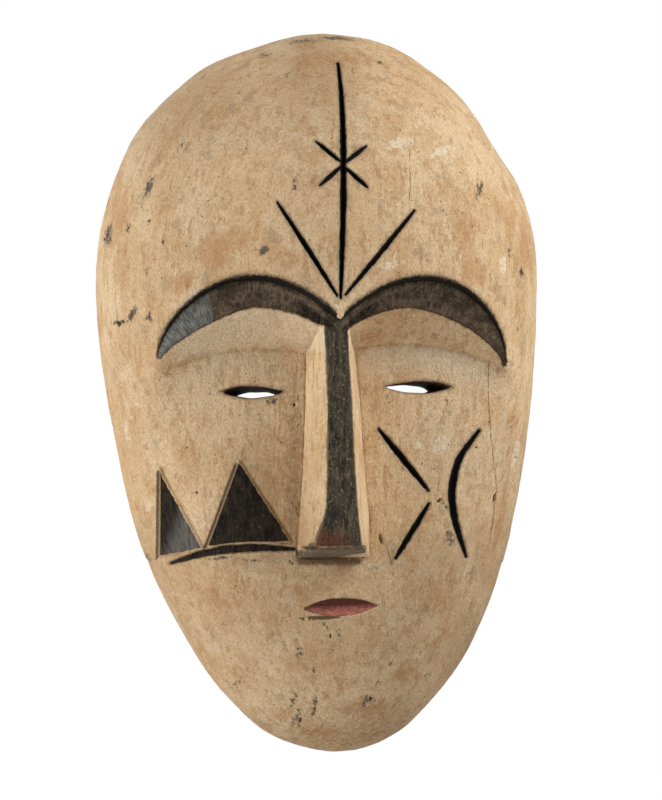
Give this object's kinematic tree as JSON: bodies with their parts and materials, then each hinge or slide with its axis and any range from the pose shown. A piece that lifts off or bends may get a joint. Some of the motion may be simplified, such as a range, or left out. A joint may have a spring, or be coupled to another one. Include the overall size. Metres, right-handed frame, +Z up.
{
  "type": "carved wooden face mask",
  "caption": "Hollow egg-shaped wooden face mask with arched brows, a long nose, narrow eye slits, cut lines and fields of dark pigment.",
  "frame": {"origin": "on the back rim, in the middle of its width, at the top of the mask", "axes": "+Z up from chin to forehead, -Y the way the mask faces, +Y out of the flat back rim, +X to the right of somebody who faces the mask"},
  "size_m": [0.2474, 0.1133, 0.401],
  "materials": {
    "wood": "hand-adzed hardwood, bare and dark with handling and smoke on the back and the rim",
    "white_clay": "dry matte white clay rubbed over the wood, yellowed, with brown stains, grey soot marks and chips",
    "black_pigment": "matte charcoal black in the cut lines and the triangles, rubbed thin at the edges",
    "brown_pigment": "brown-black stain, brushed on and worn to grey and brown streaks, with a slight sheen",
    "red_pigment": "matte earth red, darker in the deep of the cut"
  },
  "bodies": {
    "root": {"wooden_shell": "wood", "white_clay_skin": "white_clay", "forehead_line_pigment": "black_pigment", "forehead_ray_left_pigment": "black_pigment", "forehead_ray_right_pigment": "black_pigment", "forehead_cross_arm_upper_left_pigment": "black_pigment", "forehead_cross_arm_lower_left_pigment": "black_pigment", "forehead_cross_arm_upper_right_pigment": "black_pigment", "forehead_cross_arm_lower_right_pigment": "black_pigment", "cheek_stroke_upper_pigment": "black_pigment", "cheek_stroke_lower_pigment": "black_pigment", "cheek_crescent_pigment": "black_pigment", "cheek_band_pigment": "black_pigment", "cheek_triangle_small_pigment": "black_pigment", "cheek_triangle_large_pigment": "black_pigment", "brow_left_pigment": "brown_pigment", "brow_right_pigment": "brown_pigment", "nose_ridge_pigment": "brown_pigment", "nose_underside_pigment": "brown_pigment", "mouth_pigment": "red_pigment"}
  },
  "joints": []
}
